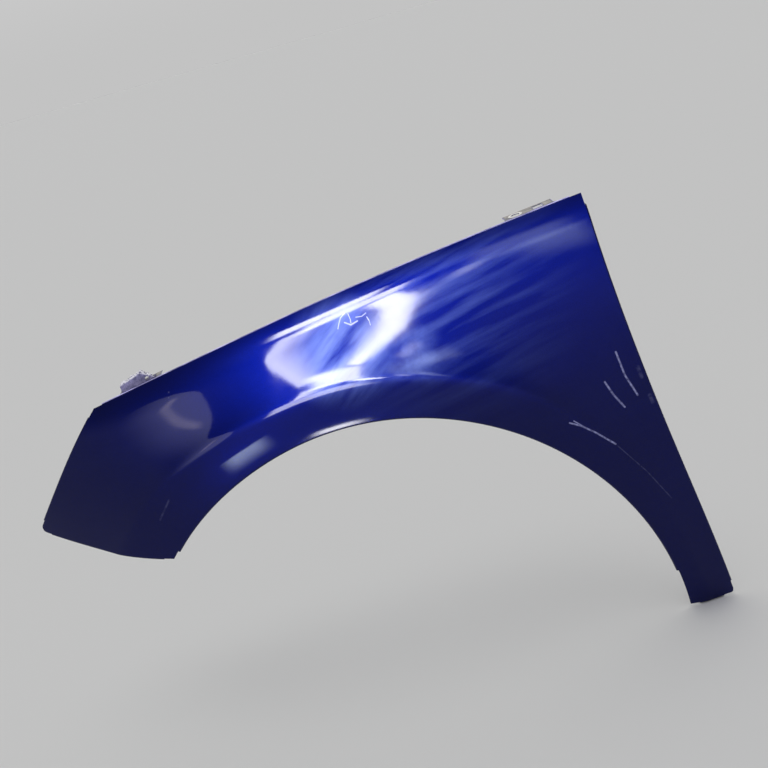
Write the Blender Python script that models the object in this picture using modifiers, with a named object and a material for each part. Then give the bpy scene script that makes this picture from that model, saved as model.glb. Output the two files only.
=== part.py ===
# Left front fender of a passenger car: one pressed steel panel and one small welded bracket.
# X runs rearward along the car, Y inboard and Z up, in metres. The panel is worked out about the
# centre of the wheel arch and then set down so that the rear bolt pad of the hood flange is the origin.

import math

import bmesh
import bpy
import numpy as np

COLLECTION_NAME = "car_fender"
CUTTER_COLLECTION_NAME = "car_fender_cutters"

# Sheet and folds
SHEET_THICKNESS = 0.0008
BRACKET_THICKNESS = 0.0012
SEAT_GAP = 0.0003
ARCH_FOLD_RADIUS = 0.003
EDGE_FOLD_RADIUS = 0.002
CUT_OVERRUN = 0.004
SHARP_ANGLE = math.radians(35.0)

# Wheel arch: an ellipse that leans forward a little, between two eccentric angles
ARCH_HALF_WIDTH = 0.3525
ARCH_HALF_HEIGHT = 0.396
ARCH_TILT = math.radians(10.0)
ARCH_FRONT_ANGLE = math.radians(125.6)
ARCH_LAMP_ANGLE = math.radians(112.0)
ARCH_DOOR_ANGLE = math.radians(52.0)
ARCH_FOOT_ANGLE = math.radians(-6.0)
ARCH_FLANGE_DEPTH = 0.013
ARCH_FLANGE_END_ANGLE = math.radians(2.0)

# Corners of the panel: how far they stand ahead of or behind the arch at their angles, and above it
BUMPER_CORNER_AHEAD = 0.1615
BUMPER_CORNER_RISE = 0.0590
LAMP_CORNER_AHEAD = 0.0987
LAMP_CORNER_RISE = 0.1448
DOOR_CORNER_BEHIND = 0.1680
DOOR_CORNER_RISE = 0.2285
FOOT_WIDTH = 0.0591
FOOT_RISE = 0.0004

# How far each edge bows out from its chord, near its first and its second end
BUMPER_EDGE_BOWS = (-0.007, -0.007)
LAMP_EDGE_BOWS = (0.002, 0.005)
HOOD_EDGE_BOWS = (0.0187, 0.0104)
DOOR_EDGE_BOWS = (-0.0252, -0.0035)
BUMPER_CORNER_ROUNDING = 0.009
FOOT_CORNER_ROUNDING = 0.005

# Outer surface: tuck below and crown above the widest level, and the turn of the nose in plan
WIDEST_HEIGHT = 0.339
LOWER_TUCK_RADIUS = 4.5
UPPER_CROWN_RADIUS = 0.70
NOSE_START_REACH = -0.074
NOSE_PLAN_RADIUS = 0.75
SHOULDER_WIDTH = 0.034
SHOULDER_RADIUS = 0.12

# Flare round the arch: distance of its crease from the lip, and how proud it stands
CREASE_OFFSET_CROWN = 0.050
CREASE_OFFSET_FRONT = 0.062
CREASE_OFFSET_FOOT = 0.026
CREASE_SOFTNESS = 0.0028
FLARE_STEP_CROWN = 0.014
FLARE_STEP_FRONT = 0.010
FLARE_STEP_FOOT = 0.003
FLARE_BLEND_CROWN = 0.034
FLARE_BLEND_FOOT = 0.016
LIP_TUCK = 0.003
FRONT_BLEND_ANGLES = (math.radians(88.0), math.radians(122.0))
FOOT_BLEND_ANGLES = (math.radians(55.0), math.radians(2.0))

# Flanges turned inboard along the edges
DOOR_FLANGE_DEPTH = 0.012
LAMP_FLANGE_DEPTH = 0.011
BUMPER_FLANGE_DEPTH = 0.016
FOOT_FLANGE_DEPTH = 0.022
FLANGE_CORNER_RELIEF = 0.012

# Hood flange: a short step down from the edge, then a level strip trimmed to tabs
HOOD_FOLD_TURN = math.radians(118.0)
HOOD_WALL_LEAN = math.radians(30.0)
HOOD_DROP_FRONT_TAB = 0.003
HOOD_DROP_MID_TAB = 0.008
HOOD_DROP_REAR_TAB = 0.0022
HOOD_RAMP_LENGTH = 0.025
HOOD_TAB_DEPTH = 0.036
HOOD_STRIP_DEPTH = 0.013
TRIM_CORNER_RADIUS = 0.006
REAR_TAB_LENGTH = 0.0615
REAR_TAB_TO_DOOR = 0.0290
MID_TAB_LENGTH = 0.1130
MID_TAB_TO_REAR_TAB = 0.1440
FRONT_TAB_LENGTH = 0.0560
LAMP_TO_FRONT_TAB = 0.0325
TAB_FLAT_MARGIN = 0.0015
BOLT_HOLE_RADIUS = 0.0048
SQUARE_HOLE_SIDE = 0.0115
HOLE_INSET = 0.0255
REAR_BOLT_IN_TAB = 0.0145
BOLT_TO_SQUARE_HOLE = 0.0280
MID_BOLT_IN_TAB = 0.0745

# Holes in the lower flanges
FLANGE_HOLE_RADIUS = 0.0032
BUMPER_HOLE_SHARES = (0.30, 0.72)
BUMPER_HOLE_INSET = 0.0095
FOOT_HOLE_SHARE = 0.5
FOOT_HOLE_INSET = 0.0125
FOOT_SLOT_LENGTH = 0.013
DOOR_TAB_DROP = 0.0735
DOOR_TAB_LENGTH = 0.040
DOOR_TAB_DEPTH = 0.026
DOOR_TAB_HOLE_INSET = 0.017

# Headlamp bracket: foot, riser and top lip folded from one strip
BRACKET_IN_TAB = 0.0065
BRACKET_WIDTH = 0.042
BRACKET_INSET = 0.0100
BRACKET_FOOT_DEPTH = 0.017
BRACKET_HEIGHT_LEFT = 0.0125
BRACKET_HEIGHT_PEAK = 0.0155
BRACKET_HEIGHT_RIGHT = 0.0040
BRACKET_PEAK_SHARE = 0.66
BRACKET_LIP_DEPTH = 0.013
BRACKET_LIP_END_DEPTH = 0.003
BRACKET_FOLD_RADIUS = 0.0015
BRACKET_HOLE_RADIUS = 0.0024
BRACKET_HOLE_SHARE = 0.80

# Mesh density: columns between the corners and tab ends of each edge, rows from arch to edge
COLUMNS_LAMP_EDGE = 14
COLUMNS_HOOD_EDGE = (2, 4, 12, 7, 7, 2, 4, 2)
COLUMNS_DOOR_EDGE = (4, 3, 19)
ROWS_BELOW_CREASE = 6
ROWS_ABOVE_CREASE = 14
ROWS_BELOW_EXPONENT = 0.8
ROWS_ABOVE_EXPONENT = 1.15
END_BEND_SHARE = 0.16
CREASE_SEARCH_STEPS = 12
EDGE_SAMPLES = 200
FOLD_STEPS = 3
HOLE_SIDES = 24
TRIM_CORNER_POINTS = 5
TRIM_EDGE_POINTS = 9
SLOT_END_POINTS = 9
BRACKET_COLUMNS = 12

# Materials: colour, then how metallic, rough and clear coated
PAINT_BLUE = (0.004, 0.011, 0.20, 1.0)
PAINT_FINISH = (0.6, 0.3, 1.0)
OVERSPRAY_GREY = (0.16, 0.15, 0.30, 1.0)
OVERSPRAY_FINISH = (0.1, 0.55, 0.0)
INBOARD = np.array([0, 1, 0])


def smooth_share(value, start, end):
    """0 before start, 1 after end, and a smooth S between them."""
    share = np.clip((value - start) / (end - start), 0, 1)
    return share * share * (3 - 2 * share)


def unit(vectors):
    """The vectors divided by their lengths."""
    return vectors / np.linalg.norm(vectors, axis=-1, keepdims=True)


def arch_point(angle):
    """Side view point of the arch fold line at an eccentric angle of the tilted ellipse."""
    along = ARCH_HALF_WIDTH * np.cos(angle)
    upward = ARCH_HALF_HEIGHT * np.sin(angle)
    reach = along * math.cos(ARCH_TILT) - upward * math.sin(ARCH_TILT)
    height = along * math.sin(ARCH_TILT) + upward * math.cos(ARCH_TILT)
    return np.stack([reach, height], axis=-1)


def arch_distance_and_angle(reach, height):
    """Distance outward from the arch fold line, along the ray from its centre, and eccentric angle."""
    along = reach * math.cos(ARCH_TILT) + height * math.sin(ARCH_TILT)
    upward = height * math.cos(ARCH_TILT) - reach * math.sin(ARCH_TILT)
    scale = np.hypot(along / ARCH_HALF_WIDTH, upward / ARCH_HALF_HEIGHT)
    distance = np.hypot(along, upward) * (1 - 1 / scale)
    angle = np.arctan2(upward / ARCH_HALF_HEIGHT, along / ARCH_HALF_WIDTH)
    return distance, angle


def bowed_edge(start, end, bows, share):
    """Cubic curve from start to end whose two handles stand off the chord by the bows."""
    start = np.array(start)
    chord = np.array(end) - start
    normal = unit(np.array([-chord[1], chord[0]]))
    share = np.asarray(share)[..., None]
    near_start = start + chord / 3 + normal * bows[0]
    near_end = start + chord * 2 / 3 + normal * bows[1]
    return ((1 - share) ** 3 * start + 3 * (1 - share) ** 2 * share * near_start
            + 3 * (1 - share) * share ** 2 * near_end + share ** 3 * (start + chord))


# The four corners and the three tabs of the hood flange, all hung from the arch
BUMPER_CORNER = arch_point(ARCH_FRONT_ANGLE) + (-BUMPER_CORNER_AHEAD, BUMPER_CORNER_RISE)
LAMP_CORNER = arch_point(ARCH_LAMP_ANGLE) + (-LAMP_CORNER_AHEAD, LAMP_CORNER_RISE)
DOOR_CORNER = arch_point(ARCH_DOOR_ANGLE) + (DOOR_CORNER_BEHIND, DOOR_CORNER_RISE)
FOOT_CORNER = arch_point(ARCH_FOOT_ANGLE) + (FOOT_WIDTH, FOOT_RISE)
REAR_TAB_END = DOOR_CORNER[0] - REAR_TAB_TO_DOOR
REAR_TAB = (REAR_TAB_END - REAR_TAB_LENGTH, REAR_TAB_END)
MID_TAB_END = REAR_TAB[0] - MID_TAB_TO_REAR_TAB
MID_TAB = (MID_TAB_END - MID_TAB_LENGTH, MID_TAB_END)
FRONT_TAB_START = LAMP_CORNER[0] + LAMP_TO_FRONT_TAB
FRONT_TAB = (FRONT_TAB_START, FRONT_TAB_START + FRONT_TAB_LENGTH)
REAR_BOLT_REACH = REAR_TAB[0] + REAR_BOLT_IN_TAB
SQUARE_HOLE_REACH = REAR_BOLT_REACH + BOLT_TO_SQUARE_HOLE
MID_BOLT_REACH = MID_TAB[0] + MID_BOLT_IN_TAB
DOOR_TAB_HEIGHT = DOOR_CORNER[1] - DOOR_TAB_DROP
BRACKET_START_REACH = FRONT_TAB[0] + BRACKET_IN_TAB


def hood_height(reach):
    """Height of the hood edge at a distance along the car."""
    line = bowed_edge(LAMP_CORNER, DOOR_CORNER, HOOD_EDGE_BOWS, np.linspace(0, 1, EDGE_SAMPLES))
    return np.interp(reach, line[:, 0], line[:, 1])


def hood_knots():
    """Distances along the car where the hood flange changes: corners, tab ends and start of the ramp."""
    margin = TAB_FLAT_MARGIN
    tabs = [(start - margin, end + margin) for start, end in (FRONT_TAB, MID_TAB, REAR_TAB)]
    ramp_start = tabs[2][0] - HOOD_RAMP_LENGTH
    return np.array([LAMP_CORNER[0], *tabs[0], *tabs[1], ramp_start, *tabs[2], DOOR_CORNER[0]])


def door_knots():
    """Heights along the door edge where its flange changes: the corners and the ends of the tab."""
    half = DOOR_TAB_LENGTH / 2
    return np.array([DOOR_CORNER[1], DOOR_TAB_HEIGHT + half, DOOR_TAB_HEIGHT - half, FOOT_CORNER[1]])


def column_shares(start, end, bows, axis, knots, counts):
    """Shares along an edge curve, spread evenly between knots so that a column falls on each knot."""
    samples = np.linspace(0, 1, EDGE_SAMPLES)
    line = bowed_edge(start, end, bows, samples)[:, axis]
    rising = np.sign(line[-1] - line[0])
    knot_shares = np.interp(rising * knots, rising * line, samples)
    number = np.concatenate([[0], np.cumsum(counts)])
    return np.interp(np.arange(number[-1] + 1), number, knot_shares)


def crease_offset(angle):
    """Distance of the flare's crease from the arch fold line."""
    front = (CREASE_OFFSET_FRONT - CREASE_OFFSET_CROWN) * smooth_share(angle, *FRONT_BLEND_ANGLES)
    foot = (CREASE_OFFSET_FOOT - CREASE_OFFSET_CROWN) * smooth_share(angle, *FOOT_BLEND_ANGLES)
    return CREASE_OFFSET_CROWN + front + foot


def skin_depth(reach, height):
    """Inboard depth of the outer surface: tuck, crown, nose, shoulder roll and wheel flare added up."""
    tuck = np.clip(WIDEST_HEIGHT - height, 0, None) ** 2 / (2 * LOWER_TUCK_RADIUS)
    crown = np.clip(height - WIDEST_HEIGHT, 0, None) ** 2 / (2 * UPPER_CROWN_RADIUS)
    nose = np.clip(NOSE_START_REACH - reach, 0, None) ** 2 / (2 * NOSE_PLAN_RADIUS)
    below_edge = hood_height(reach) - height
    shoulder = np.clip(SHOULDER_WIDTH - below_edge, 0, None) ** 2 / (2 * SHOULDER_RADIUS)
    distance, angle = arch_distance_and_angle(reach, height)
    front = smooth_share(angle, *FRONT_BLEND_ANGLES)
    foot = smooth_share(angle, *FOOT_BLEND_ANGLES)
    step = (FLARE_STEP_CROWN + (FLARE_STEP_FRONT - FLARE_STEP_CROWN) * front
            + (FLARE_STEP_FOOT - FLARE_STEP_CROWN) * foot)
    blend = FLARE_BLEND_CROWN + (FLARE_BLEND_FOOT - FLARE_BLEND_CROWN) * foot
    offset = crease_offset(angle)
    past = CREASE_SOFTNESS * np.logaddexp(0, (distance - offset) / CREASE_SOFTNESS)
    flare = step * (1 - np.exp(-past / blend))
    lip = LIP_TUCK * np.clip(1 - distance / offset, 0, 1) ** 2
    return tuck + crown + nose + shoulder + flare + lip


def round_corner(points, corner, along_first, along_second, rounding):
    """Draw the side view points near a square corner in to a round one of the given radius."""
    basis = np.linalg.inv(np.stack([along_first, along_second], axis=1))
    local = (points - corner) @ basis.T
    near = np.clip(1 - local / rounding, 0, 1)
    drawn_first = near[..., 0] * np.sqrt(1 - near[..., 1] ** 2 / 2)
    drawn_second = near[..., 1] * np.sqrt(1 - near[..., 0] ** 2 / 2)
    shift = np.stack([near[..., 0] - drawn_first, near[..., 1] - drawn_second], axis=-1) * rounding
    return points + shift @ np.stack([along_first, along_second])


def skin_side_view():
    """Side view grid of the skin: rays from the arch to the outer edges, one row set on the crease."""
    lamp_share = np.linspace(0, 1, COLUMNS_LAMP_EDGE + 1)[:-1]
    hood_share = column_shares(LAMP_CORNER, DOOR_CORNER, HOOD_EDGE_BOWS, 0, hood_knots(),
                               COLUMNS_HOOD_EDGE)[:-1]
    door_share = column_shares(DOOR_CORNER, FOOT_CORNER, DOOR_EDGE_BOWS, 1, door_knots(),
                               COLUMNS_DOOR_EDGE)
    angle = np.concatenate([
        ARCH_FRONT_ANGLE + (ARCH_LAMP_ANGLE - ARCH_FRONT_ANGLE) * lamp_share,
        ARCH_LAMP_ANGLE + (ARCH_DOOR_ANGLE - ARCH_LAMP_ANGLE) * hood_share,
        ARCH_DOOR_ANGLE + (ARCH_FOOT_ANGLE - ARCH_DOOR_ANGLE) * door_share])
    outer = np.concatenate([
        bowed_edge(BUMPER_CORNER, LAMP_CORNER, LAMP_EDGE_BOWS, lamp_share),
        bowed_edge(LAMP_CORNER, DOOR_CORNER, HOOD_EDGE_BOWS, hood_share),
        bowed_edge(DOOR_CORNER, FOOT_CORNER, DOOR_EDGE_BOWS, door_share)])
    inner = arch_point(angle)
    ray = outer - inner
    length = np.linalg.norm(ray, axis=1)
    crease_share = crease_offset(angle) / length
    for _ in range(CREASE_SEARCH_STEPS):
        spot = inner + ray * crease_share[:, None]
        distance, spot_angle = arch_distance_and_angle(spot[:, 0], spot[:, 1])
        crease_share = crease_share + (crease_offset(spot_angle) - distance) / length
    below = np.linspace(0, 1, ROWS_BELOW_CREASE + 1)[:-1] ** ROWS_BELOW_EXPONENT
    above = np.linspace(0, 1, ROWS_ABOVE_CREASE + 1) ** ROWS_ABOVE_EXPONENT
    above = (1 - np.cos(math.pi * above)) / 2
    share = np.concatenate([
        crease_share[:, None] * below,
        crease_share[:, None] + (1 - crease_share[:, None]) * above], axis=1)
    grid = inner[:, None, :] + ray[:, None, :] * share[..., None]
    return bend_end_columns(grid, share)


def bend_end_columns(grid, share):
    """Bow the bumper edge and round the corners there and at the foot of the rear leg."""
    count = len(grid)
    chord = grid[0, -1] - grid[0, 0]
    bowed = bowed_edge(grid[0, 0], grid[0, -1], BUMPER_EDGE_BOWS[::-1], share[0])
    offset = -(bowed - (grid[0, 0] + chord * share[0][:, None]))
    fade = np.clip(1 - np.arange(count) / (count * END_BEND_SHARE), 0, 1) ** 2
    grid = grid + offset * fade[:, None, None]
    up_lamp_edge = unit(grid[2, -1] - grid[0, -1])
    along_bumper = unit(grid[0, -3] - grid[0, -1])
    grid = round_corner(grid, grid[0, -1], up_lamp_edge, along_bumper, BUMPER_CORNER_ROUNDING)
    up_door_edge = unit(grid[-3, -1] - grid[-1, -1])
    along_foot = unit(grid[-1, 0] - grid[-1, -1])
    return round_corner(grid, grid[-1, -1], up_door_edge, along_foot, FOOT_CORNER_ROUNDING)


def skin_points():
    """The outer surface as a grid of points, columns by rows by three."""
    side = skin_side_view()
    depth = skin_depth(side[..., 0], side[..., 1])
    return np.stack([side[..., 0], depth, side[..., 1]], axis=-1)


def fold_rows(edge, inside, radius, turn, depth):
    """Rows of points that turn the sheet round a fold at its edge and run on for the flange depth."""
    outward = edge - inside
    along = unit(np.gradient(edge, axis=0))
    outward = unit(outward - along * np.sum(outward * along, axis=1, keepdims=True))
    inner = unit(INBOARD - outward * outward[:, 1:2])
    rows = []
    for step in range(1, FOLD_STEPS + 1):
        angle = turn * step / FOLD_STEPS
        rows.append(edge + outward * radius * math.sin(angle) + inner * radius * (1 - math.cos(angle)))
    run = outward * math.cos(turn) + inner * math.sin(turn)
    rows.append(rows[-1] + run * np.reshape(depth, (-1, 1)))
    return np.stack(rows, axis=1)


def hood_flange_rows(edge, inside):
    """Fold over the hood edge, step down to the flange level and run level inboard."""
    rows = fold_rows(edge, inside, EDGE_FOLD_RADIUS, HOOD_FOLD_TURN, 0)[:, :FOLD_STEPS]
    last = rows[:, -1]
    level = flange_level(edge[:, 0])
    fall = np.clip(last[:, 2] - level, 0, None)
    wall_foot = last + np.stack([0 * fall, fall * math.tan(HOOD_WALL_LEAN), level - last[:, 2]], axis=1)
    flange_end = np.stack([wall_foot[:, 0], edge[:, 1] + HOOD_TAB_DEPTH, level], axis=1)
    return np.concatenate([rows, wall_foot[:, None], flange_end[:, None]], axis=1)


def flange_level(reach):
    """Height of the hood flange: straight between knots, so that every tab is flat."""
    knots = hood_knots()
    drops = np.array([
        HOOD_DROP_FRONT_TAB, HOOD_DROP_FRONT_TAB, HOOD_DROP_FRONT_TAB, HOOD_DROP_MID_TAB,
        HOOD_DROP_MID_TAB, HOOD_DROP_MID_TAB, HOOD_DROP_REAR_TAB, HOOD_DROP_REAR_TAB,
        HOOD_DROP_FRONT_TAB])
    return np.interp(reach, knots, hood_height(knots) - drops)


def strip_faces(index):
    """Quads between the neighbouring points of an index grid."""
    return np.stack([index[:-1, :-1], index[1:, :-1], index[1:, 1:], index[:-1, 1:]], axis=-1).reshape(-1, 4)


def sheet_mesh(points, faces, name):
    """A Blender object from points and quads, with loose points left out and its normals outboard."""
    mesh = bpy.data.meshes.new(name)
    mesh.from_pydata(points.tolist(), [], faces.tolist())
    bm = bmesh.new()
    bm.from_mesh(mesh)
    loose = [vertex for vertex in bm.verts if not vertex.link_faces]
    bmesh.ops.delete(bm, geom=loose, context="VERTS")
    bm.to_mesh(mesh)
    bm.free()
    return bpy.data.objects.new(name, mesh)


def panel_sheet():
    """The pressing as one open surface: the skin and the flanges turned from its edges."""
    skin = skin_points()
    count, rows = skin.shape[:2]
    lamp_end = COLUMNS_LAMP_EDGE
    door_start = COLUMNS_LAMP_EDGE + sum(COLUMNS_HOOD_EDGE)
    points = [skin.reshape(-1, 3)]
    index = np.arange(count * rows).reshape(count, rows)
    faces = [strip_faces(index)]
    total = count * rows

    def add_flange(edge_index, flange_rows, keep):
        nonlocal total
        number = flange_rows.shape[0] * flange_rows.shape[1]
        new = total + np.arange(number).reshape(flange_rows.shape[:2])
        strip = np.concatenate([edge_index[:, None], new], axis=1)
        quads = strip_faces(strip).reshape(len(strip) - 1, -1, 4)[keep]
        points.append(flange_rows.reshape(-1, 3))
        faces.append(quads.reshape(-1, 4))
        total += number
        return new

    def away_from_ends(edge, start_relief, end_relief):
        run = np.concatenate([[0], np.cumsum(np.linalg.norm(np.diff(edge, axis=0), axis=1))])
        return (run[:-1] >= start_relief) & (run[-1] - run[1:] >= end_relief)

    relief = FLANGE_CORNER_RELIEF
    columns_angle = arch_distance_and_angle(skin[:, 0, 0], skin[:, 0, 2])[1]
    arch_rows = fold_rows(skin[:, 0], skin[:, 1], ARCH_FOLD_RADIUS, math.pi / 2, ARCH_FLANGE_DEPTH)
    arch_keep = away_from_ends(skin[:, 0], relief, 0) & (columns_angle[1:] > ARCH_FLANGE_END_ANGLE)
    add_flange(index[::-1, 0], arch_rows[::-1], arch_keep[::-1])

    lamp = slice(0, lamp_end + 1)
    lamp_rows = fold_rows(skin[lamp, -1], skin[lamp, -2], EDGE_FOLD_RADIUS, math.pi / 2, LAMP_FLANGE_DEPTH)
    add_flange(index[lamp, -1], lamp_rows, away_from_ends(skin[lamp, -1], relief, relief))

    hood = slice(lamp_end, door_start + 1)
    hood_rows = hood_flange_rows(skin[hood, -1], skin[hood, -2])
    add_flange(index[hood, -1], hood_rows, away_from_ends(skin[hood, -1], relief, relief))

    door = slice(door_start, count)
    door_rows = fold_rows(skin[door, -1], skin[door, -2], EDGE_FOLD_RADIUS, math.pi / 2, DOOR_FLANGE_DEPTH)
    door_index = add_flange(index[door, -1], door_rows, away_from_ends(skin[door, -1], relief, relief))
    tab_rows = fold_rows(skin[door, -1], skin[door, -2], EDGE_FOLD_RADIUS, math.pi / 2, DOOR_TAB_DEPTH)
    quad_number = np.arange(sum(COLUMNS_DOOR_EDGE))
    on_tab = (quad_number >= COLUMNS_DOOR_EDGE[0]) & (quad_number < sum(COLUMNS_DOOR_EDGE[:2]))
    add_flange(door_index[:, -1], tab_rows[:, -1:], on_tab)

    bumper_rows = fold_rows(skin[0], skin[1], EDGE_FOLD_RADIUS, math.pi / 2, BUMPER_FLANGE_DEPTH)
    add_flange(index[0], bumper_rows, away_from_ends(skin[0], relief, relief))

    foot_rows = fold_rows(skin[-1], skin[-2], EDGE_FOLD_RADIUS, math.pi / 2, FOOT_FLANGE_DEPTH)
    add_flange(index[-1, ::-1], foot_rows[::-1], away_from_ends(skin[-1, ::-1], relief, relief))
    return np.concatenate(points), np.concatenate(faces)


def hood_edge_depth(reach):
    """Inboard depth of the skin at the hood edge."""
    return skin_depth(np.asarray(reach), hood_height(reach))


def edge_frame(edge, inside, share):
    """A place on an edge at a share of its length, with the edge's outward and inner directions."""
    run = np.concatenate([[0], np.cumsum(np.linalg.norm(np.diff(edge, axis=0), axis=1))])
    at = share * run[-1]
    place = np.array([np.interp(at, run, edge[:, axis]) for axis in range(3)])
    within = np.array([np.interp(at, run, inside[:, axis]) for axis in range(3)])
    nearest = int(np.clip(np.searchsorted(run, at), 1, len(run) - 1))
    along = unit(edge[nearest] - edge[nearest - 1])
    outward = place - within
    outward = unit(outward - along * np.dot(outward, along))
    return place, outward, unit(INBOARD - outward * outward[1])


def principled(name, color, finish):
    """A plain Principled material in the part's own colour and finish."""
    material = bpy.data.materials.new(name)
    material.use_nodes = True
    shader = material.node_tree.nodes["Principled BSDF"]
    shader.inputs["Base Color"].default_value = color
    for socket, value in zip(("Metallic", "Roughness", "Coat Weight"), finish):
        shader.inputs[socket].default_value = value
    material.diffuse_color = color
    return material


def cutter(thing, cutters, root):
    """Put a cutting body with the cutters, unseen, in the panel's own frame."""
    for collection in list(thing.users_collection):
        collection.objects.unlink(thing)
    cutters.objects.link(thing)
    thing.hide_render = True
    thing.display_type = "WIRE"
    thing.parent = root
    return thing


def drill(name, centre, direction, radius, cutters, root):
    """A round cutter through the sheet at a centre, along a direction."""
    bpy.ops.mesh.primitive_cylinder_add(vertices=HOLE_SIDES, radius=radius, depth=2 * CUT_OVERRUN)
    thing = bpy.context.active_object
    thing.name = name
    axis = np.asarray(direction, dtype=float)
    tilt_y = math.atan2(math.hypot(axis[0], axis[1]), axis[2])
    thing.rotation_euler = (0, tilt_y, math.atan2(axis[1], axis[0]))
    thing.location = centre
    return cutter(thing, cutters, root)


def prism(name, outline, low, high, cutters, root):
    """An upright cutter from a plan outline, counter-clockwise seen from above."""
    bm = bmesh.new()
    base = bm.faces.new([bm.verts.new((x, y, low)) for x, y in outline])
    lifted = bmesh.ops.extrude_face_region(bm, geom=[base])
    raised = [item for item in lifted["geom"] if isinstance(item, bmesh.types.BMVert)]
    bmesh.ops.translate(bm, verts=raised, vec=(0, 0, high - low))
    bmesh.ops.recalc_face_normals(bm, faces=bm.faces)
    mesh = bpy.data.meshes.new(name)
    bm.to_mesh(mesh)
    bm.free()
    return cutter(bpy.data.objects.new(name, mesh), cutters, root)


def arc(centre, radius, start, end, steps):
    """Plan points on an arc from one angle to another."""
    angles = np.linspace(start, end, steps)
    return [(centre[0] + radius * math.cos(a), centre[1] + radius * math.sin(a)) for a in angles]


def trim_outline(start, end):
    """Plan outline of the strip of hood flange that is trimmed away between two tabs."""
    radius = TRIM_CORNER_RADIUS
    outer = float(max(hood_edge_depth(start), hood_edge_depth(end))) + HOOD_TAB_DEPTH + CUT_OVERRUN

    def inset(reach):
        return float(hood_edge_depth(reach)) + HOOD_STRIP_DEPTH

    middle = [(x, inset(x)) for x in np.linspace(start + radius, end - radius, TRIM_EDGE_POINTS)[1:-1]]
    first_centre = (start + radius, inset(start + radius) + radius)
    first = arc(first_centre, radius, math.pi, 3 * math.pi / 2, TRIM_CORNER_POINTS)
    last_centre = (end - radius, inset(end - radius) + radius)
    last = arc(last_centre, radius, 3 * math.pi / 2, 2 * math.pi, TRIM_CORNER_POINTS)
    return first + middle + last + [(end, outer), (start, outer)]


def slot_outline(centre, half_run, radius):
    """Plan outline of a round-ended slot that runs inboard."""
    far_end = arc((centre[0], centre[1] + half_run), radius, 0, math.pi, SLOT_END_POINTS)
    near_end = arc((centre[0], centre[1] - half_run), radius, math.pi, 2 * math.pi, SLOT_END_POINTS)
    return far_end + near_end


def build_panel(collection, cutters, root):
    """The pressing: open surface, sheet thickness, then trimmed and pierced as the real one is."""
    points, faces = panel_sheet()
    panel = sheet_mesh(points, faces, "fender_panel")
    collection.objects.link(panel)
    panel.parent = root
    thickness = panel.modifiers.new("sheet", "SOLIDIFY")
    thickness.thickness = SHEET_THICKNESS
    thickness.offset = -1
    thickness.use_even_offset = True
    for body in panel_cutters(cutters, root):
        cut = panel.modifiers.new(body.name, "BOOLEAN")
        cut.operation = "DIFFERENCE"
        cut.solver = "EXACT"
        cut.object = body
    panel.data.materials.append(principled("fender_blue_paint", PAINT_BLUE, PAINT_FINISH))
    panel.data.shade_smooth()
    panel.data.set_sharp_from_angle(angle=SHARP_ANGLE)
    return panel


def panel_cutters(cutters, root):
    """Trims between the hood tabs, then bolt holes, square hole, slot and lower flange holes."""
    bodies = []
    spans = (
        ("trim_front", LAMP_CORNER[0] - CUT_OVERRUN, FRONT_TAB[0]),
        ("trim_front_mid", FRONT_TAB[1], MID_TAB[0]),
        ("trim_mid_rear", MID_TAB[1], REAR_TAB[0]),
        ("trim_rear", REAR_TAB[1], DOOR_CORNER[0] + CUT_OVERRUN),
    )
    for name, start, end in spans:
        low = float(min(flange_level(start), flange_level(end))) - CUT_OVERRUN
        high = float(max(flange_level(start), flange_level(end))) + CUT_OVERRUN
        bodies.append(prism(name, trim_outline(start, end), low, high, cutters, root))

    for name, reach in (("rear_bolt_hole", REAR_BOLT_REACH), ("mid_bolt_hole", MID_BOLT_REACH)):
        centre = (reach, float(hood_edge_depth(reach)) + HOLE_INSET, float(flange_level(reach)))
        bodies.append(drill(name, centre, (0, 0, 1), BOLT_HOLE_RADIUS, cutters, root))

    half = SQUARE_HOLE_SIDE / 2
    x, y = SQUARE_HOLE_REACH, float(hood_edge_depth(SQUARE_HOLE_REACH)) + HOLE_INSET
    level = float(flange_level(x))
    square = [(x - half, y - half), (x + half, y - half), (x + half, y + half), (x - half, y + half)]
    bodies.append(prism("square_hole", square, level - CUT_OVERRUN, level + CUT_OVERRUN, cutters, root))

    skin = skin_points()
    for number, share in enumerate(BUMPER_HOLE_SHARES, start=1):
        place, outward, inner = edge_frame(skin[0], skin[1], share)
        centre = place + outward * EDGE_FOLD_RADIUS + inner * (EDGE_FOLD_RADIUS + BUMPER_HOLE_INSET)
        bodies.append(drill(f"bumper_hole_{number}", centre, outward, FLANGE_HOLE_RADIUS, cutters, root))

    place, outward, inner = edge_frame(skin[-1], skin[-2], FOOT_HOLE_SHARE)
    centre = place + inner * (EDGE_FOLD_RADIUS + FOOT_HOLE_INSET)
    half_run = FOOT_SLOT_LENGTH / 2 - FLANGE_HOLE_RADIUS
    level = centre[2] - EDGE_FOLD_RADIUS
    slot = slot_outline(centre, half_run, FLANGE_HOLE_RADIUS)
    bodies.append(prism("foot_slot", slot, level - CUT_OVERRUN, level + CUT_OVERRUN, cutters, root))

    door = slice(COLUMNS_LAMP_EDGE + sum(COLUMNS_HOOD_EDGE), None)
    door_edge = skin[door, -1]
    run = np.concatenate([[0], np.cumsum(np.linalg.norm(np.diff(door_edge, axis=0), axis=1))])
    share = float(np.interp(-DOOR_TAB_HEIGHT, -door_edge[:, 2], run)) / run[-1]
    place, outward, inner = edge_frame(door_edge, skin[door, -2], share)
    centre = place + outward * EDGE_FOLD_RADIUS + inner * (EDGE_FOLD_RADIUS + DOOR_TAB_HOLE_INSET)
    bodies.append(drill("door_tab_hole", centre, outward, FLANGE_HOLE_RADIUS, cutters, root))
    return bodies


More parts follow.
